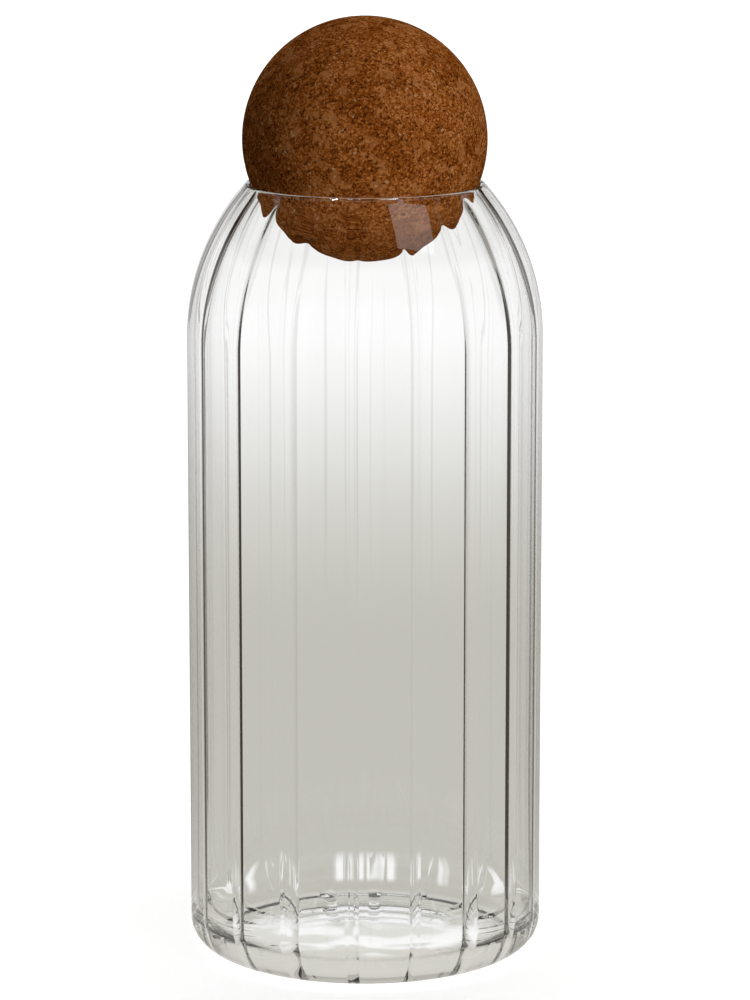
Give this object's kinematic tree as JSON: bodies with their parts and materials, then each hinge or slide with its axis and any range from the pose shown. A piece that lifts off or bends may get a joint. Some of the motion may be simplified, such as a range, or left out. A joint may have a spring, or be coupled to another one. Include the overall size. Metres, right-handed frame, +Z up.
{
  "type": "ribbed glass storage jar with cork ball stopper",
  "caption": "Tall clear glass storage jar with optic ribs, a long round shoulder and an open mouth, closed by a cork ball that lies on the lip.",
  "frame": {"origin": "centre of the foot, on the surface that the jar stands on", "axes": "+Z up along the jar's axis, towards the mouth; -Y is the side that faces the picture"},
  "size_m": [0.1, 0.1, 0.2659],
  "materials": {
    "clear_glass": "clear fire-polished borosilicate glass",
    "cork": "matte sanded agglomerated cork with dark and pale grains"
  },
  "bodies": {
    "jar": {"glass_jar": "clear_glass"},
    "stopper": {"cork_stopper": "cork"}
  },
  "joints": [
    {"name": "stopper_lift", "type": "slide", "parent": "jar", "child": "stopper", "axis": [0, 0, 1], "range_m": [0, 0.1]}
  ]
}
